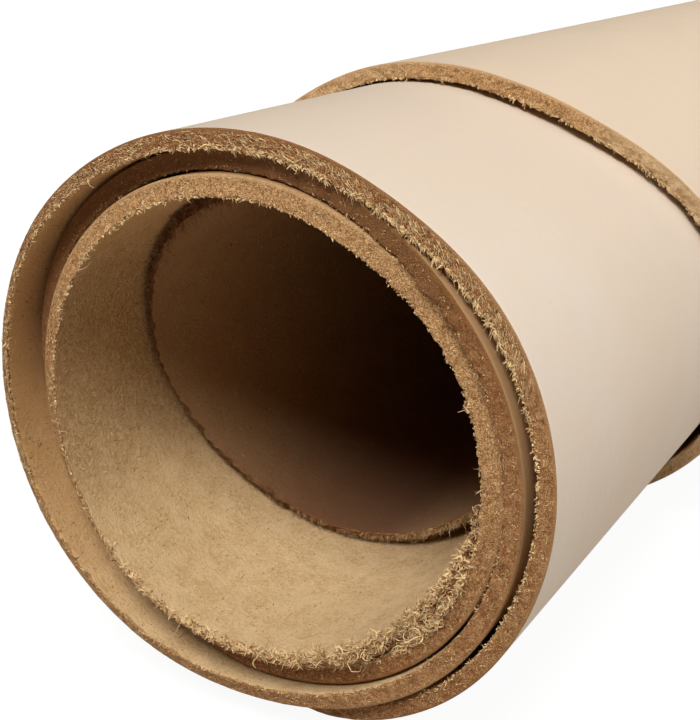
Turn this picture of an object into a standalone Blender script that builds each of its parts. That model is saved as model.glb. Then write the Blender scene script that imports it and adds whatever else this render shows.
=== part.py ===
"""A double shoulder of undyed, vegetable-tanned cowhide, rolled up loosely.

One cut of leather, about 1.5 m across the shoulders and 0.8 m along the spine, wound a little over
five times with its flesh side inward. The roll lies along Y with the shown end at -Y, and it rests
on the narrow flat strip that its weight presses along the bottom of the outermost turn.

Places round the roll are in hours, as on a clock face seen from the shown end: 12 is the top, 3 the
right, 6 the bottom. The hours count on from turn to turn, so 15 is again the right, one turn out.
"""

import bmesh
import bpy
import numpy as np

ROLL_LENGTH_MM = 800.0
INNER_END_H = 2.0
OUTER_END_H = 66.8
SECTIONS_PER_HOUR = 4
FLAT_STRIP_DEPTH_MM = 0.7
UNEVENNESS_MM = 0.5
TURN_H = 12.0

# The innermost turn: hour, radius of its grain side in mm.
CORE = [
    (2, 35.4), (3, 35.9), (4, 36.3), (5, 36.4), (6, 37.3), (7, 38.1), (8, 38.4),
    (9, 38.6), (10, 39.4), (11, 39.1), (12, 38.2), (13, 38.0), (14, 40.0),
]

# Air between a turn and the one inside it: hour, gap in mm.
GAPS = [
    (14, 2.25), (15, 2.85), (16, 3.7), (17, 3.0), (18, 1.3), (20, 0.75), (21, 0.7), (25, 0.5), (26, 0.7),
    (27, 1.0), (28, 0.5), (30, 0.4), (31, 0.7), (32, 1.0), (33, 1.3), (34, 1.9), (35, 0.7), (36, 0.3),
    (38, 0.3), (39, 0.4), (41, 0.6), (42, 0.8), (43, 1.7), (44, 2.1), (45, 2.0), (46, 1.1), (47, 0.5),
    (48, 0.3), (49, 0.4), (50, 1.7), (51, 1.6), (52, 0.8), (54, 1.0), (55, 0.4), (59, 0.4), (60, 0.8),
    (61, 1.7), (62, 1.1), (63, 1.6), (64, 1.8), (65, 0.9), (66, 0.6), (67, 0.6),
]

# Thickness of the hide: hour, mm.
THICKNESS = [
    (2, 1.5), (8, 1.6), (11, 1.9), (14, 2.4), (17, 3), (20, 3.5), (30, 3.6), (36, 3.4),
    (44, 3.25), (48, 2.95), (54, 3), (67, 3.1),
]

# How far the flesh side of the shown edge lies back from the end of the roll: hour, mm.
SHOWN_EDGE = [
    (2, 72), (3, 63), (4, 51), (5, 42.8), (6, 40.6), (7, 38.1), (8, 32.4), (9, 25.2), (10, 19.8), (11, 15.9),
    (12, 13), (14, 10), (15, 9.5), (15.6, 8), (16, 4.5), (16.4, 1), (17, -2.6), (18, -3.4), (19, -3),
    (20, -2.2), (22, -0.9), (25, 0), (28, 0), (30, 1.4), (31, 5), (32, 6.5), (33, 4), (34, 3.6),
    (35, 2.8), (36, 1.7), (37, 0.6), (38, -1), (39, -1), (40, -0.5), (42, -1.6), (46, -2),
    (48, -0.4), (50, 0), (52, 0), (53, 1.8), (53.5, 3.8), (54, 8.5), (55, 25), (56, 45), (57, 60),
    (58, 69), (59, 70.5), (60, 66), (60.5, 65), (61.1, 69), (61.6, 76.5), (62.2, 87), (63, 99),
    (64, 109), (65, 114), (66, 117), (66.8, 124),
]

# How much further back the grain side of that edge lies, as the knife leaned: hour, mm.
LEAN = [
    (2, 1), (5, 1.2), (7, 1.6), (9, 1.6), (11, 1.4), (14, 1.5), (17, 1.6), (18, 2.6), (20, 2.6), (21, 1.6),
    (22, 1.4), (24, 0.6), (29, 0.5), (34, 1), (38, -0.6), (40, 0), (42, 1.4), (44, 1.6), (45, 1.8),
    (46, 2.6), (47, 1.8), (48, 1), (50, 0.2), (54, 0.4), (60, 0.8), (67, 0.8),
]

# How far the hidden edge lies in from the far end of the roll: hour, mm.
HIDDEN_EDGE = [(2, 30), (6, 12), (14, 3), (26, 0), (38, 2), (52, 1), (60, 8), (64, 18), (66.8, 34)]

# Stations from the shown edge to the hidden one, as shares of the way.
STATIONS = [0, 0.02, 0.08, 0.25, 0.5, 0.75, 0.94, 1]


def smooth_through(table, hours):
    """A curve through the rows of a table that doesn't overshoot them."""
    x, y = np.array(table, float).T
    slope = np.diff(y) / np.diff(x)
    rise = slope[1:] * slope[:-1]
    turn = np.where(rise > 0, 2 * rise / np.where(rise > 0, slope[1:] + slope[:-1], 1), 0)
    tangent = np.concatenate([slope[:1], turn, slope[-1:]])
    i = np.clip(np.searchsorted(x, hours, side="right") - 1, 0, len(x) - 2)
    step = x[i + 1] - x[i]
    t = (hours - x[i]) / step
    near = y[i] * (1 + 2 * t) * (1 - t) ** 2 + step * tangent[i] * t * (1 - t) ** 2
    far = y[i + 1] * t * t * (3 - 2 * t) + step * tangent[i + 1] * t * t * (t - 1)
    return near + far


def wound_radius(hours, thickness):
    """Each turn lies on the one inside it, with its gap and its own thickness on top."""
    per_turn = int(TURN_H * SECTIONS_PER_HOUR)
    gap = smooth_through(GAPS, np.maximum(hours, GAPS[0][0]))
    radius = np.empty_like(hours)
    radius[: per_turn + 1] = smooth_through(CORE, hours[: per_turn + 1])
    for i in range(per_turn + 1, len(hours)):
        radius[i] = radius[i - per_turn] + gap[i] + thickness[i]
    reach = 2
    ends = [2 * radius[0] - radius[reach:0:-1], radius, 2 * radius[-1] - radius[-2:-2 - reach:-1]]
    weights = np.array([1, 3, 4, 3, 1]) / 12
    return np.convolve(np.concatenate(ends), weights, mode="valid")


def rolled_hide():
    """Points of the grain side and the flesh side, each as sections by stations by XYZ, in mm."""
    count = int(round((OUTER_END_H - INNER_END_H) * SECTIONS_PER_HOUR)) + 1
    hours = INNER_END_H + np.arange(count) / SECTIONS_PER_HOUR
    thickness = smooth_through(THICKNESS, hours)
    grain_radius = wound_radius(hours, thickness)
    shown = smooth_through(SHOWN_EDGE, hours)
    lean = smooth_through(LEAN, hours)
    hidden = ROLL_LENGTH_MM - smooth_through(HIDDEN_EDGE, hours)
    angle = np.radians(90 - 30 * hours)[:, None]
    share = np.array(STATIONS)
    sides = []
    for radius, edge in ((grain_radius, shown + lean), (grain_radius - thickness, shown)):
        y = edge[:, None] + (hidden - edge)[:, None] * share
        along = y / ROLL_LENGTH_MM
        swell = np.sin(5.2 * along + 0.6) * np.cos(angle - 0.7) + 0.6 * np.sin(2 * angle + 7 * along)
        lift = (1 + np.sin(angle)) / 2
        r = radius[:, None] + UNEVENNESS_MM * swell * lift * np.clip(along * 4, 0, 1)
        sides.append(np.stack([r * np.cos(angle), y, r * np.sin(angle)], axis=2))
    floor = min(side[..., 2].min() for side in sides) + FLAT_STRIP_DEPTH_MM
    for side in sides:
        side[..., 2] = np.maximum(side[..., 2], floor)
    both = np.stack(sides)
    low, high = both.min(axis=(0, 1, 2)), both.max(axis=(0, 1, 2))
    both -= [(low[0] + high[0]) / 2, (low[1] + high[1]) / 2, low[2]]
    return both


def closed_faces(sections, stations):
    """Quads over the two sides, along the shown and hidden edges and over the two ends."""
    index = np.arange(2 * sections * stations).reshape(2, sections, stations)
    grain, flesh = index

    def strip(a, b):
        return np.stack([a[:-1], a[1:], b[1:], b[:-1]], axis=1)

    faces = []
    for j in range(stations - 1):
        faces.append(strip(grain[:, j], grain[:, j + 1]))
        faces.append(strip(flesh[:, j + 1], flesh[:, j]))
    faces.append(strip(flesh[:, 0], grain[:, 0]))
    faces.append(strip(grain[:, -1], flesh[:, -1]))
    faces.append(strip(grain[0], flesh[0]))
    faces.append(strip(flesh[-1], grain[-1]))
    return np.concatenate(faces).tolist()


def leather_material():
    material = bpy.data.materials.new("undyed_leather")
    material.use_nodes = True
    shader = material.node_tree.nodes["Principled BSDF"]
    shader.inputs["Base Color"].default_value = (0.72, 0.56, 0.39, 1)
    shader.inputs["Roughness"].default_value = 0.62
    return material


def main():
    for thing in list(bpy.data.objects):
        bpy.data.objects.remove(thing, do_unlink=True)
    both = rolled_hide()
    _, sections, stations, _ = both.shape
    mesh = bpy.data.meshes.new("double_shoulder")
    mesh.from_pydata((both.reshape(-1, 3) * 0.001).tolist(), [], closed_faces(sections, stations))
    shape = bmesh.new()
    shape.from_mesh(mesh)
    bmesh.ops.recalc_face_normals(shape, faces=shape.faces)
    if shape.calc_volume(signed=True) < 0:
        bmesh.ops.reverse_faces(shape, faces=shape.faces)
    shape.to_mesh(mesh)
    shape.free()
    mesh.materials.append(leather_material())
    mesh.shade_smooth()
    mesh.set_sharp_from_angle(angle=0.6)
    hide = bpy.data.objects.new("double_shoulder", mesh)
    bpy.context.scene.collection.objects.link(hide)


main()
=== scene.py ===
"""A double shoulder of undyed, vegetable-tanned cowhide, rolled up loosely with its flesh side inward.

Places round the roll are in hours, as on a clock face seen from the shown end: 12 is the top, 3 the right,
6 the bottom, and they count on from turn to turn, so 15 is the right again, one turn further out.
"""
import math
import bpy
import numpy as np
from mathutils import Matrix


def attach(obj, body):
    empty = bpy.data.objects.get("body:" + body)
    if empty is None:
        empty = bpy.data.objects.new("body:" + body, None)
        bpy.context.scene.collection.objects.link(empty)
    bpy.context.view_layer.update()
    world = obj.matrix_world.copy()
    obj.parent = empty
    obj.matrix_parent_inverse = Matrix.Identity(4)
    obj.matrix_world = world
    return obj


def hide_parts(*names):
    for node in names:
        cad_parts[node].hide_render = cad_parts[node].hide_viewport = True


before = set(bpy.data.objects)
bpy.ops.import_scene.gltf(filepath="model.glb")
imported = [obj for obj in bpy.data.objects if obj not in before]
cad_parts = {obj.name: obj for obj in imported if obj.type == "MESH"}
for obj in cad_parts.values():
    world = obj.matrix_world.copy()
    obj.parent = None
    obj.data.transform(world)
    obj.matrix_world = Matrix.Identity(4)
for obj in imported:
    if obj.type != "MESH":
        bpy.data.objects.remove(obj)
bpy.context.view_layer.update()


# The hide
# One cut of cowhide, about 1.55 m across the shoulders and 0.8 m along the spine. It is 3 to 3.6 mm
# thick and thins out towards its inner end. Its grain side is smooth and pale, its flesh side has a short
# nap. It is wound a little over five times, and its own weight presses the lowest strip of the roll flat.
ROLL_LENGTH_MM = 800.0
INNER_END_H = 2.0
OUTER_END_H = 66.75
TURN_H = 12.0
DEGREES_PER_HOUR = 30
GRID_PER_HOUR = 4
UNEVENNESS_MM = 0.5
AXIS_MM = (-1.3032, -398.3, 57.0006)  # The middle of the roll at its shown end.

CORE = [  # The innermost turn: hour, radius of its grain side in mm.
    (2, 35.4), (3, 35.9), (4, 36.3), (5, 36.4), (6, 37.3), (7, 38.1), (8, 38.4),
    (9, 38.6), (10, 39.4), (11, 39.1), (12, 38.2), (13, 38.0), (14, 40.0),
]
GAPS = [  # Air between a turn and the one inside it: hour, mm.
    (14, 2.25), (15, 2.85), (16, 3.7), (17, 3.0), (18, 1.3), (20, 0.75), (21, 0.7), (25, 0.5), (26, 0.7),
    (27, 1.0), (28, 0.5), (30, 0.4), (31, 0.7), (32, 1.0), (33, 1.3), (34, 1.9), (35, 0.7), (36, 0.3),
    (38, 0.3), (39, 0.4), (41, 0.6), (42, 0.8), (43, 1.7), (44, 2.1), (45, 2.0), (46, 1.1), (47, 0.5),
    (48, 0.3), (49, 0.4), (50, 1.7), (51, 1.6), (52, 0.8), (54, 1.0), (55, 0.4), (59, 0.4), (60, 0.8),
    (61, 1.7), (62, 1.1), (63, 1.6), (64, 1.8), (65, 0.9), (66, 0.6), (67, 0.6),
]
THICKNESS = [  # The thickness of the hide: hour, mm.
    (2, 1.5), (8, 1.6), (11, 1.9), (14, 2.4), (17, 3), (20, 3.5), (30, 3.6), (36, 3.4),
    (44, 3.25), (48, 2.95), (54, 3), (67, 3.1),
]
SHOWN_EDGE = [  # How far the flesh side of the shown edge lies back from the end of the roll: hour, mm.
    (2, 72), (3, 63), (4, 51), (5, 42.8), (6, 40.6), (7, 38.1), (8, 32.4), (9, 25.2), (10, 19.8), (11, 15.9),
    (12, 13), (14, 10), (15, 9.5), (15.6, 8), (16, 4.5), (16.4, 1), (17, -2.6), (18, -3.4), (19, -3),
    (20, -2.2), (22, -0.9), (25, 0), (28, 0), (30, 1.4), (31, 5), (32, 6.5), (33, 4), (34, 3.6),
    (35, 2.8), (36, 1.7), (37, 0.6), (38, -1), (39, -1), (40, -0.5), (42, -1.6), (46, -2),
    (48, -0.4), (50, 0), (52, 0), (53, 1.8), (53.5, 3.8), (54, 8.5), (55, 25), (56, 45), (57, 60),
    (58, 69), (59, 70.5), (60, 66), (60.5, 65), (61.1, 69), (61.6, 76.5), (62.2, 87), (63, 99),
    (64, 109), (65, 114), (66, 117), (66.8, 124),
]
LEAN = [  # How much further back the grain side of that edge lies, as the knife leaned: hour, mm.
    (2, 1), (5, 1.2), (7, 1.6), (9, 1.6), (11, 1.4), (14, 1.5), (17, 1.6), (18, 2.6), (20, 2.6), (21, 1.6),
    (22, 1.4), (24, 0.6), (29, 0.5), (34, 1), (38, -0.6), (40, 0), (42, 1.4), (44, 1.6), (45, 1.8),
    (46, 2.6), (47, 1.8), (48, 1), (50, 0.2), (54, 0.4), (60, 0.8), (67, 0.8),
]
HIDDEN_EDGE = [  # How far the hidden edge lies in from the far end of the roll: hour, mm.
    (2, 30), (6, 12), (14, 3), (26, 0), (38, 2), (52, 1), (60, 8), (64, 18), (66.8, 34),
]


def hermite(x, y, tangent, at):
    """The cubic between each pair of points that leaves and meets them at their tangents."""
    i = np.clip(np.searchsorted(x, at, side="right") - 1, 0, len(x) - 2)
    step = x[i + 1] - x[i]
    t = (at - x[i]) / step
    near = y[i] * (1 + 2 * t) * (1 - t) ** 2 + step * tangent[i] * t * (1 - t) ** 2
    return near + y[i + 1] * t * t * (3 - 2 * t) + step * tangent[i + 1] * t * t * (t - 1)


def smooth_through(table, hours):
    """A curve through the rows of a table that doesn't overshoot them. Its slope at a row is the harmonic
    mean of the slopes on both sides, and level at a peak or a dip."""
    x, y = np.array(table, float).T
    slope = np.diff(y) / np.diff(x)
    rise = slope[1:] * slope[:-1]
    turn = np.where(rise > 0, 2 * rise / np.where(rise > 0, slope[1:] + slope[:-1], 1), 0)
    return hermite(x, y, np.concatenate([slope[:1], turn, slope[-1:]]), hours)


grid_hours = np.arange(INNER_END_H, OUTER_END_H + 0.1, 1 / GRID_PER_HOUR)


def wound():
    """The grain side's radius: each turn lies on the one inside it, with its gap and thickness on top. The
    whole is blurred over five neighbours, as leather takes no sharp bends."""
    per_turn = int(TURN_H * GRID_PER_HOUR)
    gap = smooth_through(GAPS, np.maximum(grid_hours, GAPS[0][0]))
    thickness = smooth_through(THICKNESS, grid_hours)
    radius = smooth_through(CORE, np.minimum(grid_hours, CORE[-1][0]))
    for i in range(per_turn + 1, len(radius)):
        radius[i] = radius[i - per_turn] + gap[i] + thickness[i]
    ends = [2 * radius[0] - radius[2:0:-1], radius, 2 * radius[-1] - radius[-2:-4:-1]]
    return np.convolve(np.concatenate(ends), np.array([1, 3, 4, 3, 1]) / 12, mode="valid")


grid_radius = wound()


def turn_radius(hours):
    """The grain side's radius at any hour, in mm: a cubic between the points of the grid."""
    return hermite(grid_hours, grid_radius, np.gradient(grid_radius, grid_hours), hours)


def thickness_at(hours):
    """The hide's thickness at any hour, in mm: the curve through its table."""
    return smooth_through(THICKNESS, hours)


def shown_edge_at(hours, share):
    """How far back the shown edge lies, in mm: share is 0 on the grain side and 1 on the flesh side."""
    return smooth_through(SHOWN_EDGE, hours) + smooth_through(LEAN, hours) * (1 - share)


def hidden_edge_at(hours):
    """How far back the hidden edge lies, in mm: the roll's length less the curve through its table."""
    return ROLL_LENGTH_MM - smooth_through(HIDDEN_EDGE, hours)


def clock_angle(hours):
    """The angle from the right, in radians: 12 is up, and each hour goes 30 degrees clockwise."""
    return np.radians(90 - DEGREES_PER_HOUR * hours)


def on_the_roll(hours, y, depth):
    """Points in metres: depth mm below the grain side, at the hour's angle, y mm along the roll. The
    radius swells a little along the roll, more at the top, and the floor stops it at the bottom."""
    angle = clock_angle(hours)
    along = y / ROLL_LENGTH_MM
    swell = np.sin(5.2 * along + 0.6) * np.cos(angle - 0.7) + 0.6 * np.sin(2 * angle + 7 * along)
    radius = turn_radius(hours) - depth
    radius = radius + UNEVENNESS_MM * swell * (1 + np.sin(angle)) / 2 * np.clip(along * 4, 0, 1)
    x = AXIS_MM[0] + radius * np.cos(angle)
    z = np.maximum(AXIS_MM[2] + radius * np.sin(angle), 0)
    return np.stack(np.broadcast_arrays(x, y + AXIS_MM[1], z), axis=-1) * 0.001


def length_to(hours):
    """The hide's length from its inner end to that hour, in mm: the sum of radius times angle."""
    hour_angle = math.radians(DEGREES_PER_HOUR)
    steps = (grid_radius[1:] + grid_radius[:-1]) / 2 * hour_angle / GRID_PER_HOUR
    return np.interp(hours, grid_hours, np.concatenate([[0], np.cumsum(steps)]))


def hour_at(length):
    """The hour at that length from the hide's inner end, in mm: length_to read backwards."""
    return np.interp(length, length_to(grid_hours), grid_hours)


SHARP_FROM_RADIANS = 1.0


def make_piece(name, points, faces, finishes, worn=None, **attributes):
    """A mesh object from points and faces. worn says which finish each face wears. An attribute is a
    number or a vector at each point."""
    mesh = bpy.data.meshes.new(name)
    mesh.from_pydata(points.reshape(-1, 3).tolist(), [], faces)
    for finish in finishes:
        mesh.materials.append(finish)
    if worn is not None:
        mesh.polygons.foreach_set("material_index", np.array(worn, np.int32))
    for key, values in attributes.items():
        vector = values.shape[-1] == 3 and values.ndim > 1
        layer = mesh.attributes.new(key, "FLOAT_VECTOR" if vector else "FLOAT", "POINT")
        layer.data.foreach_set("vector" if vector else "value", values.astype(np.float32).ravel())
    mesh.shade_smooth()
    mesh.set_sharp_from_angle(angle=SHARP_FROM_RADIANS)
    piece = bpy.data.objects.new(name, mesh)
    bpy.context.scene.collection.objects.link(piece)
    return piece


class Wire:
    """A value in a finish. Sums on it add Math nodes, so 1 - wire and 3 * wire work as written."""

    def __init__(self, finish, socket):
        self.finish, self.socket = finish, socket

    def math(self, operation, a, b):
        return self.finish.node("ShaderNodeMath", {"operation": operation}, {0: a, 1: b})

    def __add__(self, other):
        return self.math("ADD", self, other)

    def __sub__(self, other):
        return self.math("SUBTRACT", self, other)

    def __rsub__(self, other):
        return self.math("SUBTRACT", other, self)

    def __mul__(self, other):
        return self.math("MULTIPLY", self, other)

    __radd__, __rmul__ = __add__, __mul__

    def larger(self, other):
        return self.math("MAXIMUM", self, other)

    def rise(self, low, high, to_low=0.0, to_high=1.0):
        """Goes softly from to_low, where the value is low, to to_high, where it is high."""
        sockets = {"Value": self, "From Min": low, "From Max": high, "To Min": to_low, "To Max": to_high}
        return self.finish.node("ShaderNodeMapRange", {"interpolation_type": "SMOOTHSTEP"}, sockets)

    def rise_by_hours(self, first, last, to_first=0.0, to_last=1.0):
        """The same for a length along the wind, between two hours."""
        return self.rise(float(length_to(first)), float(length_to(last)), to_first, to_last)


class Finish:
    """A material in the making, with one Principled shader."""

    def __init__(self, name, **sockets):
        self.material = bpy.data.materials.new(name)
        self.material.use_nodes = True
        self.tree = self.material.node_tree
        self.shader = self.tree.nodes["Principled BSDF"]
        for key, value in sockets.items():
            self.shader.inputs[key.replace("_", " ")].default_value = value

    def node(self, kind, settings, sockets, out=0):
        """Adds a node with its settings, and feeds its sockets with numbers or wires."""
        made = self.tree.nodes.new(kind)
        for key, value in settings.items():
            setattr(made, key, value)
        for key, value in sockets.items():
            self.feed(made.inputs[key], value)
        return Wire(self, made.outputs[out])

    def feed(self, socket, value):
        if isinstance(value, Wire):
            self.tree.links.new(value.socket, socket)
        else:
            socket.default_value = value

    def wear(self, **sockets):
        for key, value in sockets.items():
            self.feed(self.shader.inputs[key.replace("_", " ")], value)

    def mix(self, share, a, b):
        """Colour a, going to colour b as share goes from 0 to 1."""
        return self.node("ShaderNodeMix", {"data_type": "RGBA"}, {0: share, 6: a, 7: b}, out=2)

    def carried(self, name):
        """The number that the piece carries under this name at each point."""
        return self.node("ShaderNodeAttribute", {"attribute_name": name}, {}, out=2)

    def place(self, stretch=(1, 1, 1)):
        """Where a point lay on the flat hide, in mm: along the wind, along the roll, and share of depth."""
        lay = self.node("ShaderNodeAttribute", {"attribute_name": "lay"}, {}, out=1)
        return self.node("ShaderNodeVectorMath", {"operation": "MULTIPLY"}, {0: lay, 1: stretch})

    def along_the_wind(self):
        return self.node("ShaderNodeSeparateXYZ", {}, {0: self.place()}, out=0)

    def share_of_depth(self):
        return self.node("ShaderNodeSeparateXYZ", {}, {0: self.place()}, out=2)

    def noise(self, per_mm, detail, roughness=0.5, stretch=(1, 1, 1), warp=0.0):
        sockets = {"Vector": self.place(stretch), "Scale": per_mm, "Detail": detail,
                   "Roughness": roughness, "Distortion": warp}
        return self.node("ShaderNodeTexNoise", {}, sockets)

    def cells(self, per_mm, stretch=(1, 1, 1)):
        return self.node("ShaderNodeTexVoronoi", {}, {"Vector": self.place(stretch), "Scale": per_mm})

    def bump(self, height, mm):
        """Relief in which a height of 1 stands out by so many mm."""
        return self.node("ShaderNodeBump", {}, {"Height": height, "Distance": mm * 0.001, "Strength": 1.0})


# The grain side is the outside of the skin: close, smooth and pale, with fine pores. It is more golden
# towards its outer end. Where it lies between two turns, up to hour 41.3, it is painted brown as shade.
BONE, CREAM = (0.69, 0.57, 0.455, 1), (0.70, 0.605, 0.505, 1)
WARM_BLOTCH = (0.68, 0.54, 0.385, 1)
HONEY_END = (0.71, 0.56, 0.405, 1)
PAINTED_SHADE_BETWEEN_TURNS = (0.42, 0.25, 0.12, 1)

grain = Finish("grain side", Roughness=0.5, Specular_IOR_Level=0.35)
cloud = grain.noise(0.012, detail=3)
blotch = grain.noise(0.09, detail=3, roughness=0.6)
pores = grain.cells(2.4)
wind = grain.along_the_wind()
tone = grain.mix(cloud.rise(0.3, 0.7), BONE, CREAM)
tone = grain.mix(blotch.rise(0.35, 0.75, 0, 0.25), tone, WARM_BLOTCH)
tone = grain.mix(wind.rise_by_hours(55, 58, 0, 0.6), tone, HONEY_END)
# Painted shade: the grain side of the inner turns, where it lies between two turns, is coloured brown.
tone = grain.mix(wind.rise_by_hours(41.3, 43, 1, 0), tone, PAINTED_SHADE_BETWEEN_TURNS)
grain.wear(Base_Color=tone, Roughness=blotch.rise(0.2, 0.8, 0.46, 0.58),
           Normal=grain.bump(pores + 3 * grain.noise(0.5, detail=3), mm=0.02))

# The flesh side is the inside of the skin: brown and matt, with a short nap, scuffed patches, dark flecks
# and pale crumbs. It is tinted redder as painted warm bounce light from hour 20 to 27 and from hour 43 on,
# it is darkened as painted shade at the inner end and most at about hour 6, where the bore lies in the
# shade, and its nap stands up from hour 20 to 23, with painted shade in its hollows and painted light on its
# tops.
NAP_DARK, NAP_LIGHT = (0.56, 0.355, 0.157, 1), (0.78, 0.55, 0.285, 1)
SCUFFED = (0.80, 0.58, 0.32, 1)
PAINTED_WARM_BOUNCE = (0.72, 0.38, 0.13, 1)
PAINTED_SHADE_INNER_END = (0.30, 0.125, 0.038, 1)
DARK_FLECK, PALE_CRUMB = (0.16, 0.07, 0.025, 1), (0.84, 0.63, 0.37, 1)
PAINTED_SHADE_BROWN = (0.14, 0.042, 0.008, 1)
PAINTED_PILE_SHADE, PAINTED_PILE_LIGHT = (0.34, 0.155, 0.05, 1), (0.96, 0.66, 0.33, 1)

flesh = Finish("flesh side", Roughness=0.95, Specular_IOR_Level=0.15, Sheen_Weight=0.06,
               Sheen_Roughness=0.6)
patches = flesh.noise(0.22, detail=4, roughness=0.6)
nap = flesh.noise(1.6, detail=4, roughness=0.65, stretch=(0.8, 1, 1), warp=0.6)
lint = flesh.noise(3.2, detail=3, roughness=0.6, stretch=(1, 0.6, 1), warp=1.2)
flecks = flesh.noise(1.2, detail=1, stretch=(2.0, 0.4, 1), warp=1.8).rise(0.685, 0.73)
crumbs = flesh.noise(1.9, detail=1, stretch=(0.6, 1.2, 1), warp=1.5).rise(0.68, 0.75)
pile = flesh.noise(1.25, detail=3, roughness=0.7, stretch=(0.8, 1.1, 1), warp=1.6)
wind = flesh.along_the_wind()
# Painted warm bounce light: the flesh is tinted redder from hour 20 to 27 and from hour 43 on.
painted_warm_bounce = wind.rise_by_hours(19.3, 21.7, 0, 0.5) * wind.rise_by_hours(27, 28, 1, 0)
painted_warm_bounce = painted_warm_bounce.larger(wind.rise_by_hours(42.3, 45.3, 0, 0.7))
# Painted shade: the flesh darkens towards brown from hour 5 to 8.5, most at about hour 6, where the bore
# lies in the shade.
painted_shade_deep = wind.rise_by_hours(5.0, 5.9) * wind.rise_by_hours(6.3, 8.5, 0.8, 0)
raised = wind.rise_by_hours(19.6, 20.5) * wind.rise_by_hours(21.8, 23.5, 1, 0)
tone = flesh.mix(nap.rise(0.28, 0.72), NAP_DARK, NAP_LIGHT)
tone = flesh.mix(patches.rise(0.36, 0.66, 0, 0.6), tone, SCUFFED)
# Painted warm bounce light, tinting the flesh redder.
tone = flesh.mix(painted_warm_bounce, tone, PAINTED_WARM_BOUNCE)
# Painted shade: the flesh of the inner end, deep in the bore, is darkened towards brown up to hour 11.5,
# fading out by hour 14.
tone = flesh.mix(wind.rise_by_hours(11.5, 14, 0.70, 0), tone, PAINTED_SHADE_INNER_END)
tone = flesh.mix(flecks * 0.85, tone, DARK_FLECK)
tone = flesh.mix(crumbs * 0.6, tone, PALE_CRUMB)
# Painted shade at the bottom of the bore, about hour 6.
tone = flesh.mix(painted_shade_deep, tone, PAINTED_SHADE_BROWN)
# Painted shade in the hollows of the raised pile, and painted light on its tops.
tone = flesh.mix(raised * pile.rise(0.36, 0.5, 0.45, 0), tone, PAINTED_PILE_SHADE)
tone = flesh.mix(raised * pile.rise(0.52, 0.62, 0, 0.7), tone, PAINTED_PILE_LIGHT)
flesh.wear(Base_Color=tone, Normal=flesh.bump(nap + 0.8 * lint + 2.6 * raised * pile, mm=0.36))

# The cut lays the fibres open. Its pieces carry two numbers: how golden the cut is, from -1, nearly black,
# over 0, brown, to 1, golden, and past it to straw, where all below 0 is painted shade; and calm, from 0,
# loose and speckled, to 1, closed and even.
BROWN_DARK, BROWN_LIGHT = (0.11, 0.034, 0.009, 1), (0.55, 0.255, 0.095, 1)
GOLD_DARK, GOLD_LIGHT = (0.26, 0.10, 0.027, 1), (0.92, 0.585, 0.275, 1)
STRAW, PALE_SPECK = (0.95, 0.70, 0.42, 1), (0.95, 0.66, 0.37, 1)
PAINTED_SHADE_BLACK = (0.05, 0.018, 0.006, 1)
RIM_BROWN, RIM_GOLD = (0.30, 0.14, 0.05, 1), (0.66, 0.42, 0.21, 1)

cut = Finish("cut edge", Roughness=0.9, Specular_IOR_Level=0.2)
gold, calm = cut.carried("gold"), cut.carried("calm")
fibres = cut.noise(3.3, detail=5, roughness=0.8, stretch=(0.7, 1, 3.2), warp=1.2)
broad = cut.noise(0.6, detail=3, roughness=0.65, stretch=(0.9, 1, 3.2), warp=0.8)
specks = cut.cells(4.6, stretch=(0.8, 1, 3.2))
light = fibres.rise(0.38, 0.64)
light = light + calm * (0.5 + 0.4 * broad - light)
brown = cut.mix(light, BROWN_DARK, BROWN_LIGHT)
golden = cut.mix(light, GOLD_DARK, GOLD_LIGHT)
tone = cut.mix(gold + broad.rise(0.32, 0.68, -0.3, 0.3), brown, golden)
tone = cut.mix((gold - 1).rise(0.0, 0.5, 0.0, 0.6), tone, STRAW)
tone = cut.mix((1 - specks.rise(0.0, 0.30)) * 0.85 * (1 - 0.8 * calm), tone, PALE_SPECK)
# Painted shade: below 0 the cut darkens towards black.
tone = cut.mix((0 - gold).rise(0.0, 1.0, 0.0, 0.92), tone, PAINTED_SHADE_BLACK)
rim = 1 - (cut.share_of_depth() + 0.12 * (broad - 0.5)).rise(0.06, 0.20)
tone = cut.mix(rim * 0.7, tone, cut.mix(gold, RIM_BROWN, RIM_GOLD))
cut.wear(Base_Color=tone, Normal=cut.bump(fibres + 0.6 * specks, mm=0.28))

GRAIN, FLESH, CUT = 0, 1, 2


def leather(name, hours, y, depth, wears, gold, calm, turned=False):
    """A piece of the hide: a closed loop of points at each hour, y mm along the roll and depth mm below
    the grain side, joined from hour to hour, and a face over each end. wears says which finish each strip
    of the loop has. A loop that runs the other way round has its faces turned."""
    index = np.arange(y.size).reshape(y.shape)
    after = np.roll(index, -1, axis=1)
    quads = np.stack([index[:-1], index[1:], after[1:], after[:-1]], axis=-1).reshape(-1, 4)
    faces = quads.tolist() + [index[0, ::-1].tolist(), index[-1].tolist()]
    if turned:
        faces = [face[::-1] for face in faces]
    worn = np.concatenate([np.tile(wears, len(hours) - 1), [CUT, CUT]])
    lay = np.broadcast_arrays(length_to(hours), y, depth / thickness_at(hours))
    return make_piece(name, on_the_roll(hours, y, depth), faces,
                      [grain.material, flesh.material, cut.material], worn, lay=np.stack(lay, axis=-1),
                      gold=(gold + 0 * y).ravel(), calm=(calm + 0 * y).ravel())


HIDE_SECTIONS_PER_HOUR = 16
HIDE_SET_BACK_MM = 2.4  # How far the hide ends behind its two long edges, which are pieces of their own.
HIDE_STATIONS = [  # Places from the shown edge to the hidden one, in parts of the last number.
    0, 1.2, 3, 6, 10, 16, 24, 36, 52, 75, 105, 145, 200, 270, 350, 430, 510, 580, 640, 690, 694.5, 695.5,
]
END_GOLD, END_CALM = 0.3, 0.3  # Of the plain cuts over the inner and the outer end.

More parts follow.
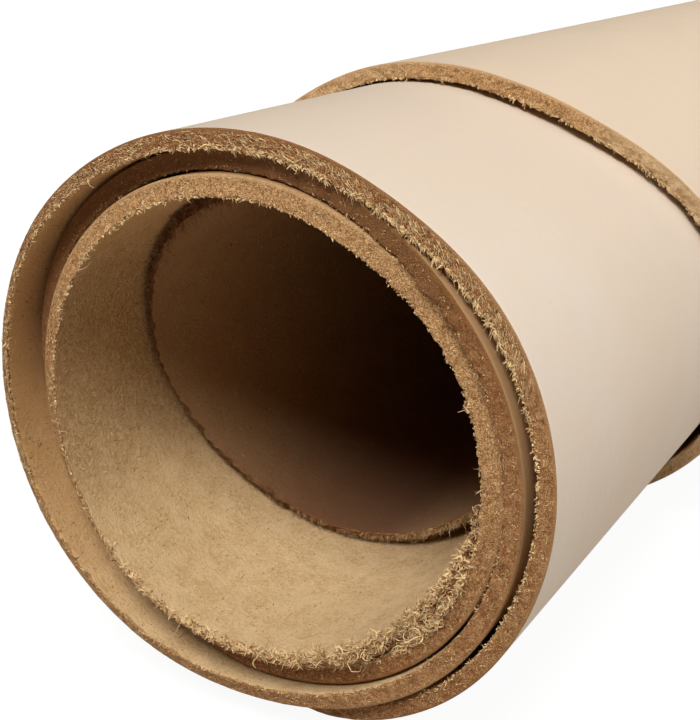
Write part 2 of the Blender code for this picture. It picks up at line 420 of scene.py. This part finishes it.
count = int((OUTER_END_H - INNER_END_H) * HIDE_SECTIONS_PER_HOUR)
hours = np.linspace(INNER_END_H, OUTER_END_H, count)[:, None]
share = np.array(HIDE_STATIONS) / HIDE_STATIONS[-1]
both_y = []
for side in (0, 1):
    near = shown_edge_at(hours, side) + HIDE_SET_BACK_MM
    far = hidden_edge_at(hours) - HIDE_SET_BACK_MM
    both_y.append(near + (far - near) * share)
y = np.concatenate([both_y[0], both_y[1][:, ::-1]], axis=1)
depth = thickness_at(hours) * np.repeat([0, 1], len(share))
hide = leather("hide", hours, y, depth, np.repeat([GRAIN, FLESH], len(share)), END_GOLD, END_CALM)
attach(hide, "root")
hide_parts("double_shoulder")


# The shown cut edge
# The hide was cut by hand with a knife along this side. The cut shows the thin, tight grain layer as a
# smooth rim, and below it the brown, loose fibres of the leather, which stand out raggedly at the flesh.
EDGE_STEP_MM = 0.34
EDGE_ROWS = [  # Share of the thickness, mm behind the cut, mm outward, how ragged.
    (0.0, 3.0, 0.01, 0.0), (0.0, 1.2, 0.01, 0.0), (0.0, 0.3, 0.01, 0.1), (0.02, 0.08, 0.0, 0.2),
    (0.09, 0.0, 0.0, 0.35), (0.2, 0.02, 0.0, 0.6), (0.33, 0.05, 0.0, 0.8), (0.46, 0.05, 0.0, 0.9),
    (0.59, 0.03, 0.0, 0.9), (0.72, 0.0, 0.0, 1.0), (0.85, -0.02, 0.0, 1.2), (0.96, 0.04, 0.0, 1.6),
    (1.0, 0.35, 0.0, 1.5), (1.0, 1.0, -0.02, 0.6), (1.0, 1.9, -0.02, 0.0), (1.0, 3.0, -0.02, 0.0),
]
EDGE_WEARS = [GRAIN] * 2 + [CUT] * 10 + [FLESH] * 6
INNER_SHARES = np.array([0.75, 0.25])  # Two more rows close the edge's loop inside the hide.
INNER_BACK_MM = 2.8
# Below 0 the cut is darkened as painted shade: on the inner turn from hour 6.5 to 15, and from hour 32 to 38
# under the overhang of the turn outside it.
EDGE_TONE_AND_SHADE = [  # Hour, how golden the cut is there: 1.5 straw, 1 golden, 0 brown, -1 nearly black.
    (2, 0.1), (5, 0.3), (5.7, 0.2), (6.5, -0.3), (8, -0.45), (12, -0.45), (13.5, -0.4), (15, -0.1),
    (17, 0.3), (18.5, 0.25), (21, 0.5), (22.5, 0.8), (24, 1.0), (26, 1.0), (28, 0.35), (29.5, 0.05),
    (31, 0.05), (32, -0.2), (33, -0.35), (34, -0.4), (36, -0.45), (37.5, -0.35), (38.3, 0.0), (39, 0.2),
    (40.3, 0.3), (41.3, 0.45), (42.5, 0.65), (43.5, 0.75), (44.8, 0.3), (45.5, 0.0), (47, -0.1),
    (48.5, 0.0), (50, 0.35), (51.5, 0.35), (53, 0.1), (55, 0.4), (57, 1.2), (59.3, 1.2), (60.6, 0.9),
    (61, 1.0), (61.6, 1.4), (63, 1.5), (66.8, 0.9),
]
EDGE_CALM = [  # Hour, how evenly the knife closed the cut: 0 loose and speckled, 1 smooth.
    (2, 0.0), (16, 0.0), (18, 0.2), (20.2, 0.3), (21, 0.0), (27, 0.05), (29, 0.1), (31, 0.2), (33, 0.4),
    (34, 0.6), (36.5, 0.6), (38, 0.3), (41, 0.2), (44, 0.1), (45.5, 0), (49, 0), (50.5, 0.2), (53, 0.1),
    (55, 0.0), (66.8, 0.0),
]
FINE_RAG_MM, BROAD_RAG_MM = 0.055, 0.085
CALM_EASES = 0.5  # How much less ragged the edge is where it is calm.
TORN_RAG_MM, TORN_FIRST_H, TORN_LAST_H = 0.2, 6, 13
FLAP_RAG_MM, FLAP_FIRST_H, FLAP_FULL_H = 0.16, 54, 56
SAG_MM = 0.045

rng = np.random.default_rng(7)


def ragged(sections, rows, reach):
    """Random heights: white noise, blurred along the edge by a bell as wide as reach neighbours on each
    side, then a little across the rows, and brought back to its first strength."""
    bell = np.hanning(2 * reach + 3)[1:-1]
    bell = bell / np.sqrt((bell ** 2).sum())
    rough = rng.normal(size=(sections + 2 * reach, rows + 2))
    rough = np.apply_along_axis(np.convolve, 0, rough, bell, "valid")
    return (rough[:, :-2] + 1.5 * rough[:, 1:-1] + rough[:, 2:]) / math.sqrt(1 + 1.5 ** 2 + 1)


hours = hour_at(np.arange(0, length_to(OUTER_END_H), EDGE_STEP_MM))[:, None]
shares, back, outward, wild = np.array(EDGE_ROWS).T
net = (len(hours), len(EDGE_ROWS))
torn = np.clip(hours - TORN_FIRST_H, 0, 1) * np.clip(TORN_LAST_H - hours, 0, 1)
flap = np.clip((hours - FLAP_FIRST_H) / (FLAP_FULL_H - FLAP_FIRST_H), 0, 1)
rough = FINE_RAG_MM * ragged(*net, 1) + BROAD_RAG_MM * ragged(*net, 3)
rough = rough * (1 - CALM_EASES * smooth_through(EDGE_CALM, hours))
rough = rough + torn * TORN_RAG_MM * ragged(*net, 2)
rough = rough + flap * FLAP_RAG_MM * ragged(*net, 4)
sag = SAG_MM * wild * ragged(*net, 2) * (shares > 0.5)
y = shown_edge_at(hours, shares) + back + wild * rough
depth = thickness_at(hours) * shares - outward + sag
y = np.concatenate([y, shown_edge_at(hours, INNER_SHARES) + INNER_BACK_MM], axis=1)
depth = np.concatenate([depth, thickness_at(hours) * INNER_SHARES], axis=1)
shown_edge = leather("shown_cut_edge", hours, y, depth, EDGE_WEARS, smooth_through(EDGE_TONE_AND_SHADE, hours),
                     smooth_through(EDGE_CALM, hours), turned=True)
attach(shown_edge, "root")


# The fuzz of the cut
# Loose collagen fibres that the knife left standing: a pale matted fringe along the flesh side of the
# cut, short ends all over the cut itself, and curled tufts where the knife tore.
def unit(v):
    """The same directions, each of length 1."""
    return v / np.linalg.norm(v, axis=-1, keepdims=True)


def column(table, number, hours):
    """A column of a table at any hour, straight between its rows."""
    rows = np.array(table)
    return np.interp(hours, rows[:, 0], rows[:, number])


CORNERS_RADIANS = (0, 2.094, 4.189)
TAPER = 0.8


def hairs(name, hours, share, back, way, length, width, curl, turns, pale, rings):
    """Thin three-sided tubes. A hair starts at its place on the cut, back mm behind it, runs its length
    along its way, given along the wind, outward and forward, and circles about that line by curl times
    its length, over so many radians. It tapers towards its tip. pale is 0 for a brown hair, 1 for straw."""
    angle = clock_angle(hours)
    zero = np.zeros_like(angle)
    axes = np.stack([np.stack([np.sin(angle), zero, -np.cos(angle)], -1),
                     np.stack([np.cos(angle), zero, np.sin(angle)], -1),
                     np.stack([zero, zero - 1, zero], -1)], axis=1)
    root = on_the_roll(hours, shown_edge_at(hours, share) + back, thickness_at(hours) * share)
    way = unit(np.einsum("na,nax->nx", way, axes))
    side = unit(np.cross(way, rng.normal(size=way.shape)))
    up = np.cross(way, side)
    t = np.linspace(0, 1, rings)[None, :, None]
    phase = rng.uniform(0, 2 * math.pi, size=(len(hours), 1, 1))
    turn = phase + turns[:, None, None] * t
    circle = (np.cos(turn) - np.cos(phase)) * side[:, None] + (np.sin(turn) - np.sin(phase)) * up[:, None]
    run = length[:, None, None] * 0.001
    path = root[:, None] + run * (t * way[:, None] + curl[:, None, None] * circle)
    along = unit(np.gradient(path, axis=1))
    across = unit(np.cross(along, side[:, None] + 0.3 * up[:, None]))
    over = np.cross(along, across)
    radius = width[:, None, None] * 0.0005 * (1 - TAPER * t ** 1.5)
    corners = [path + radius * (math.cos(a) * across + math.sin(a) * over) for a in CORNERS_RADIANS]
    points = np.stack(corners, axis=2)
    points[..., 2] = np.maximum(points[..., 2], 0)
    index = np.arange(points.size // 3).reshape(len(hours), rings, 3)
    after = np.roll(index, -1, axis=2)
    quads = np.stack([index[:, :-1], after[:, :-1], after[:, 1:], index[:, 1:]], axis=-1).reshape(-1, 4)
    ends = np.concatenate([index[:, 0, ::-1], index[:, -1]])
    piece = make_piece(name, points, quads.tolist() + ends.tolist(), [fibre.material],
                       pale=np.repeat(pale, rings * 3))
    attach(piece, "root")
    return piece


HAIR_BROWN, HAIR_STRAW = (0.20, 0.07, 0.018, 1), (0.86, 0.64, 0.345, 1)
fibre = Finish("loose fibres", Roughness=0.85, Specular_IOR_Level=0.2)
fibre.wear(Base_Color=fibre.mix(fibre.carried("pale"), HAIR_BROWN, HAIR_STRAW))

# The fringe hangs in clumps along the flesh side of the cut. It is thickest low on the right and over
# the top of the outer cut.
FRINGE = [  # Hour, hairs a mm, mean length in mm, how pale.
    (15.5, 6, 0.4, 0.5), (16.3, 20, 0.8, 0.8), (17.4, 22, 0.8, 0.85), (18.2, 22, 0.7, 0.85),
    (19.2, 18, 0.6, 0.8), (20, 10, 0.4, 0.7), (21, 13, 0.42, 0.7), (22, 14, 0.45, 0.75),
    (23.4, 14, 0.45, 0.8), (24.5, 12, 0.36, 0.7), (26, 10, 0.3, 0.6), (28, 10, 0.3, 0.6),
    (29.4, 14, 0.5, 0.75), (30.5, 8, 0.35, 0.6), (32, 5, 0.3, 0.4), (36, 4, 0.3, 0.35),
    (38.5, 5, 0.3, 0.5), (41, 6, 0.35, 0.6), (43, 7, 0.35, 0.6), (45, 10, 0.4, 0.65),
    (46.5, 14, 0.4, 0.7), (48, 24, 0.5, 0.8), (49, 28, 0.6, 0.85), (50, 24, 0.55, 0.8),
    (50.7, 12, 0.35, 0.7), (52, 10, 0.35, 0.7), (54, 7, 0.35, 0.6), (58, 12, 0.4, 0.75),
    (61, 14, 0.5, 0.75), (64, 8, 0.4, 0.6),
]
FRINGE_SHARE_DRAWN = 0.69  # Of the hairs in the table.
CLUMP_MM, CLUMP_DRAW = 1.1, 0.3  # How long a clump is, and how far its hairs draw together.

fine = np.arange(FRINGE[0][0], FRINGE[-1][0], 0.02)
wind = length_to(fine)
per_step = FRINGE_SHARE_DRAWN * column(FRINGE, 1, fine) * np.gradient(wind)
total = int(per_step.sum())
place = (np.arange(total) + rng.uniform(size=total)) / total * per_step.sum()
place = np.interp(place, np.cumsum(per_step), wind)
clump = np.floor(place / CLUMP_MM + 0.6 * np.sin(place * 0.7)).astype(int)
clump -= clump.min()
clump_way = rng.normal(size=(clump.max() + 1, 3)) * [1.0, 0.35, 0.3]
clump_size = rng.lognormal(0, 0.35, clump.max() + 1)
centre = np.bincount(clump, place) / np.maximum(np.bincount(clump), 1)
hours = hour_at(place + (centre[clump] - place) * CLUMP_DRAW)
way = np.array([0.9, -0.3, 0.3]) + clump_way[clump] + 0.5 * rng.normal(size=(total, 3))
fringe = hairs(
    "fringe", hours, way=way, rings=4,
    length=column(FRINGE, 2, hours) * clump_size[clump] * rng.lognormal(0, 0.3, total),
    share=rng.uniform(0.80, 1.02, total), back=rng.uniform(-0.1, 0.3, total),
    width=rng.uniform(0.13, 0.36, total), curl=rng.uniform(0.05, 0.35, total),
    turns=rng.uniform(-4, 4, total),
    pale=np.clip(column(FRINGE, 3, hours) + 0.22 * rng.normal(size=total), 0, 1))

# Short fibre ends stand all over the cut, fewer where the knife closed it evenly.
ENDS_PER_MM2 = 2.7
MEAN_THICKNESS_MM = 3.2
ENDS_PIECES = [  # Name, first and last hour.
    ("cut_ends_of_inner_turns", 14.5, 40), ("cut_ends_of_outer_turns", 40, 66.6),
]
ENDS_LENGTH = [  # Hour, mean length in mm.
    (14, 0.4), (22, 0.45), (25, 0.35), (44, 0.4), (46.5, 0.7), (49, 0.7), (51, 0.4), (56, 0.45), (58, 0.6),
    (67, 0.6),
]
for name, first_h, last_h in ENDS_PIECES:
    first_mm, last_mm = float(length_to(first_h)), float(length_to(last_h))
    total = int(ENDS_PER_MM2 * MEAN_THICKNESS_MM * (last_mm - first_mm))
    hours = hour_at(rng.uniform(first_mm, last_mm, total))
    share = rng.uniform(0.1, 0.97, total)
    kept = rng.uniform(size=total) > 0.75 * smooth_through(EDGE_CALM, hours)
    hours, share, total = hours[kept], share[kept], int(kept.sum())
    way = rng.normal(size=(total, 3)) * [1, 0.6, 0.2] + [0, 0, 0.12]
    way[:, 1] = np.where(share < 0.35, -np.abs(way[:, 1]), way[:, 1])
    # Their paleness follows the cut's tone along the wind, its painted shade included.
    pale = 0.36 + 0.25 * smooth_through(EDGE_TONE_AND_SHADE, hours) + 0.36 * rng.normal(size=total)
    hairs(
        name, hours, share, way=way, pale=np.clip(pale, 0, 1), rings=3,
        back=rng.uniform(-0.03, 0.06, total),
        length=smooth_through(ENDS_LENGTH, hours) * rng.uniform(0.5, 1.6, total),
        width=rng.uniform(0.08, 0.17, total), curl=rng.uniform(0.0, 0.25, total),
        turns=rng.uniform(-3, 3, total))

# Over the top of the roll the knife dragged, and left long bright strands lying along the outer cut.
STRANDS_PER_MM2 = 5.0
STRANDS_FIRST_H, STRANDS_LAST_H = 44.3, 50.4
OUTER_CUT_MM = 3
first_mm, last_mm = float(length_to(STRANDS_FIRST_H)), float(length_to(STRANDS_LAST_H))
total = int(STRANDS_PER_MM2 * OUTER_CUT_MM * (last_mm - first_mm))
hours = hour_at(rng.uniform(first_mm, last_mm, total))
share = rng.uniform(0.12, 1.0, total)
way = rng.normal(size=(total, 3)) * [0.4, 0.35, 0.1] + [1, -0.4, 0.1]
way[:, 1] = np.where(share < 0.4, -np.abs(way[:, 1]), way[:, 1])
strands = hairs(
    "dragged_strands", hours, share, way=way, rings=4,
    back=rng.uniform(-0.12, 0.02, total), length=rng.uniform(0.5, 1.8, total),
    width=rng.uniform(0.07, 0.14, total), curl=rng.uniform(0.0, 0.15, total),
    turns=rng.uniform(-3, 3, total), pale=np.clip(0.66 + 0.36 * rng.normal(size=total), 0, 1.15))

# Tufts of curled fibres stand where the knife tore, low on the right, and thin out to the left. A few
# more stand one turn further out.
TUFTS = [  # Hour, tufts a mm, fibres a tuft, length in mm, how curled, nearest share of the thickness.
    (15.4, 0.3, 14, 0.8, 0.28, 0.7), (15.8, 1.5, 24, 1.0, 0.3, 0.55), (16.2, 2.2, 30, 1.15, 0.3, 0.4),
    (16.6, 2.4, 30, 1.2, 0.3, 0.4), (17.0, 2.2, 30, 1.2, 0.28, 0.5), (17.3, 1.8, 26, 1.1, 0.26, 0.65),
    (17.6, 1.6, 20, 1.1, 0.24, 0.8), (18.2, 1.5, 16, 0.9, 0.12, 0.85), (19.0, 1.4, 12, 0.75, 0.12, 0.85),
    (19.7, 0.8, 9, 0.6, 0.1, 0.85), (20.2, 0.0, 8, 0.6, 0.1, 0.85), (27.5, 0.0, 12, 0.8, 0.3, 0.93),
    (27.8, 1.1, 24, 1.1, 0.33, 0.93), (28.4, 1.2, 24, 1.1, 0.33, 0.93), (28.7, 0.2, 12, 0.8, 0.3, 0.93),
    (29.0, 0.0, 8, 0.8, 0.3, 0.93),
]
FLESH_RIM = 1.02  # The share of the thickness up to which tufts stand, a little past the flesh side.
fine = np.arange(TUFTS[0][0], TUFTS[-1][0], 0.01)
heap = np.cumsum(column(TUFTS, 1, fine) * np.gradient(length_to(fine)))
middles = np.interp(np.arange(0.5, heap[-1]), heap, fine)
middles = middles + 0.02 * rng.normal(size=len(middles))
tuft = np.repeat(np.arange(len(middles)), column(TUFTS, 2, middles).astype(int))
total = len(tuft)
hours = middles[tuft] + 0.009 * rng.normal(size=total)
spread = rng.normal(size=(len(middles), 3)) * [0.7, 0.5, 0.3] + [0.1, -0.5, 0.4]
way = spread[tuft] + 0.55 * rng.normal(size=(total, 3))
mean_length = column(TUFTS, 3, hours) * rng.lognormal(0, 0.25, len(middles))[tuft]
nearest = column(TUFTS, 5, middles)
share = (nearest + (FLESH_RIM - nearest) * rng.uniform(size=len(middles)))[tuft]
share = np.clip(share + 0.06 * rng.normal(size=total), 0.15, 1)
# Three in ten of the fibres are drawn dark, as painted shade between the tufts.
tufts = hairs(
    "tufts", hours, share, way=way, rings=6,
    back=np.where(share > 0.97, rng.uniform(-0.1, 1.5, total), -0.1),
    length=mean_length * rng.lognormal(0, 0.25, total), width=rng.uniform(0.18, 0.38, total),
    curl=column(TUFTS, 4, hours) * rng.uniform(0.4, 1.1, total),
    turns=rng.uniform(2.5, 6, total) * rng.choice([-1, 1], total),
    pale=np.clip(0.84 + 0.2 * rng.normal(size=total), 0, 1) * rng.choice([1, 0.35], total, p=[0.7, 0.3]))

# The inner turn thins out to a feathered edge with a short fuzz, and a dark tuft high on the left. The
# fuzz leans outward up to 7 o'clock, and beyond it to both sides.
FUZZ = [  # Hour, hairs a mm, mean length in mm, how pale.
    (3, 14, 0.7, 0.6), (4, 24, 0.9, 0.75), (5, 28, 0.9, 0.8), (6, 24, 0.8, 0.45), (7, 20, 0.8, 0.2),
    (8, 20, 0.8, 0.15), (9, 20, 0.7, 0.15), (9.8, 24, 1.1, 0.15), (10.6, 32, 1.8, 0.1),
    (11.3, 32, 1.8, 0.1), (12, 22, 1.1, 0.15), (13, 12, 0.6, 0.3), (14, 8, 0.4, 0.4),
]
FUZZ_CLUMP_MM = 0.9
FUZZ_CLUMPING = [(9.2, 1), (9.8, 2), (12.2, 2), (12.8, 1)]  # Hour, how much the clumps differ.
FUZZ_LEAN = [(3, 0.6), (6, 0.6), (9, 0.7), (10.3, 1.2), (12, 1.2), (13, 0.2)]  # Hour, how far.
fine = np.arange(FUZZ[0][0], FUZZ[-1][0], 0.01)
heap = np.cumsum(column(FUZZ, 1, fine) * np.gradient(length_to(fine)))
total = int(heap[-1])
hours = np.interp(rng.uniform(0, heap[-1], total), heap, fine)
clump_way = rng.normal(size=(2000, 3)) * [0.7, 0.35, 0.3]
clump = (length_to(hours) / FUZZ_CLUMP_MM).astype(int)
way = np.array([0.1, 0.1, 0.5]) + column(FUZZ_CLUMPING, 1, hours)[:, None] * clump_way[clump]
way = way + 0.5 * rng.normal(size=(total, 3))
lean = np.where(hours < 7, 1.2, rng.choice([-1.6, 1.2], total))
way[:, 1] += column(FUZZ_LEAN, 1, hours) * lean
fuzz = hairs(
    "inner_fuzz", hours, way=way, rings=4,
    length=column(FUZZ, 2, hours) * rng.lognormal(0, 0.4, total),
    share=rng.uniform(0.0, 1.0, total), back=rng.uniform(-0.05, 0.5, total),
    width=rng.uniform(0.07, 0.15, total), curl=rng.uniform(0.0, 0.3, total),
    turns=rng.uniform(-4, 4, total),
    pale=np.clip(column(FUZZ, 3, hours) + 0.15 * rng.normal(size=total), 0, 1))

# A few single hairs stray out of the cut.
STRAY_WIDTH_MM = 0.14
STRAYS = [  # Hour, share of the thickness, mm along the wind, outward, forward, curl, turn, how pale.
    (22.2, 1.0, 2.6, -0.6, 1.2, 0.25, 2.2, 0.95), (22.7, 1.0, 1.9, -1.0, 0.8, 0.3, -2.6, 0.9),
    (15.1, 1.0, -0.4, -1.7, 0.5, 0.25, 2.0, 0.75), (15.25, 1.0, 0.7, -1.5, 0.4, 0.3, -2.4, 0.7),
    (14.7, 1.0, -0.8, -1.4, 0.2, 0.2, 1.8, 0.8), (4.9, 0.1, 0.8, 1.3, 0.6, 0.3, 2.5, 0.8),
    (4.55, 0.1, 0.3, 1.6, 0.5, 0.3, -2.5, 0.8), (4.2, 0.1, -0.6, 1.0, 0.5, 0.3, 2.2, 0.75),
    (17.7, 0.9, 3.4, -1.2, 1.4, 0.3, 3.4, 0.9), (18.6, 0.95, 1.5, 1.6, 1.2, 0.3, 3.0, 0.9),
    (19.5, 0.95, -1.2, 1.4, 1.0, 0.25, 2.6, 0.85), (28.9, 0.9, 1.6, -0.4, 1.2, 0.3, 3.4, 0.85),
    (46.8, 0.95, 1.4, -1.2, 1.2, 0.25, 2.8, 0.9), (49.6, 0.95, 1.8, -1.4, 0.8, 0.3, 3.2, 0.95),
    (33.4, 1.0, 0.8, -1.6, 1.0, 0.25, 2.4, 0.8), (52.6, 0.95, 1.2, -1.2, 1.0, 0.3, 2.8, 0.9),
]
stray = np.array(STRAYS)
way = stray[:, 2:5]
strays = hairs(
    "stray_hairs", hours=stray[:, 0], share=stray[:, 1], back=np.zeros(len(stray)), way=way,
    length=np.linalg.norm(way, axis=1), width=np.full(len(stray), STRAY_WIDTH_MM), curl=stray[:, 5],
    turns=stray[:, 6], pale=stray[:, 7], rings=12)


# The hidden cut edge
# The other long side of the hide, at the far end of the roll. It is cut nearly square, and its fibres
# stand out less than on the shown side.
HIDDEN_STEP_MM = 0.8
HIDDEN_ROWS = [  # Share of the thickness, mm in from the cut, how ragged.
    (0.0, 3.0, 0.0), (0.0, 0.25, 0.1), (0.05, 0.0, 0.3), (0.25, 0.0, 0.7), (0.5, 0.0, 0.8), (0.75, 0.0, 0.9),
    (0.95, 0.0, 1.0), (1.0, 0.3, 0.9), (1.0, 3.0, 0.0), (0.75, 2.8, 0.0), (0.25, 2.8, 0.0),
]
HIDDEN_WEARS = [GRAIN] + [CUT] * 6 + [FLESH] * 2 + [CUT, GRAIN]
HIDDEN_RAG_MM = 0.09
HIDDEN_GOLD, HIDDEN_CALM = 0.25, 0.25

hours = hour_at(np.arange(0, length_to(OUTER_END_H), HIDDEN_STEP_MM))[:, None]
shares, back, wild = np.array(HIDDEN_ROWS).T
y = hidden_edge_at(hours) - back + HIDDEN_RAG_MM * wild * ragged(len(hours), len(shares), 2)
depth = thickness_at(hours) * shares
hidden_edge = leather("hidden_cut_edge", hours, y, depth, HIDDEN_WEARS, HIDDEN_GOLD, HIDDEN_CALM)
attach(hidden_edge, "root")


# Floor, light and camera
# A plain white floor under soft studio light, seen from the right of the shown end and from above. The
# camera sees floor and backdrop nearly white. The light they send on to the leather is weaker and warmer.
FLOOR_HALF_M = 9
SEEN_GLOW, SEEN_GREY, NO_GLOW = (0.93, 0.93, 0.93, 1), (0.1, 0.1, 0.1, 1), (0, 0, 0, 1)
SENT_BEIGE = (0.50, 0.46, 0.42, 1)
half = FLOOR_HALF_M
floor_mesh = bpy.data.meshes.new("floor")
floor_mesh.from_pydata([(-half, -half, 0), (half, -half, 0), (half, half, 0), (-half, half, 0)], [],
                       [(0, 1, 2, 3)])
paper = Finish("white paper", Roughness=0.95, Specular_IOR_Level=0.05)
seen = paper.node("ShaderNodeLightPath", {}, {})
paper.wear(Base_Color=paper.mix(seen, SENT_BEIGE, SEEN_GREY),
           Emission_Color=paper.mix(seen, NO_GLOW, SEEN_GLOW), Emission_Strength=1.0)
floor_mesh.materials.append(paper.material)
floor = bpy.data.objects.new("floor", floor_mesh)
bpy.context.scene.collection.objects.link(floor)

SKY_LIGHT, BACKDROP_WHITE = (0.065, 0.053, 0.037, 1), (1, 1, 1, 1)
world = bpy.data.worlds.new("studio")
world.use_nodes = True
sky = world.node_tree.nodes["Background"]
sky.inputs["Strength"].default_value = 1.0
ray = world.node_tree.nodes.new("ShaderNodeLightPath")
backdrop = world.node_tree.nodes.new("ShaderNodeMix")
backdrop.data_type = "RGBA"
backdrop.inputs[6].default_value = SKY_LIGHT
backdrop.inputs[7].default_value = BACKDROP_WHITE
world.node_tree.links.new(ray.outputs["Is Camera Ray"], backdrop.inputs[0])
world.node_tree.links.new(backdrop.outputs[2], sky.inputs["Color"])
bpy.context.scene.world = world

SUNS = [  # Name, from where, W a square metre, how wide in degrees, colour.
    ("key", (0.13, -0.56, 0.82), 3.4, 28, (1.0, 0.985, 0.965)),
    ("back", (0.8, 0.35, 0.5), 1.3, 60, (0.97, 0.98, 1.0)),
]
for name, way, power, width, colour in SUNS:
    sun = bpy.data.lights.new(name, "SUN")
    sun.energy, sun.angle, sun.color = power, math.radians(width), colour
    lamp = bpy.data.objects.new(name, sun)
    lamp.rotation_euler = (math.acos(way[2] / np.linalg.norm(way)), 0, math.atan2(way[0], -way[1]))
    bpy.context.scene.collection.objects.link(lamp)

YAW, PITCH = math.radians(29.64), math.radians(18.98)
EYE_M = (0.1115, -0.5614, 0.1375)
LENS_MM, SENSOR_MM = 65, 36
lens = bpy.data.cameras.new("camera")
lens.sensor_fit, lens.sensor_width, lens.lens = "AUTO", SENSOR_MM, LENS_MM
lens.clip_start, lens.clip_end = 0.005, 50
camera = bpy.data.objects.new("camera", lens)
camera.location = EYE_M
camera.rotation_euler = (math.radians(90) - PITCH, 0, YAW)
bpy.context.scene.collection.objects.link(camera)
bpy.context.scene.camera = camera
bpy.context.scene.view_settings.view_transform = "Standard"
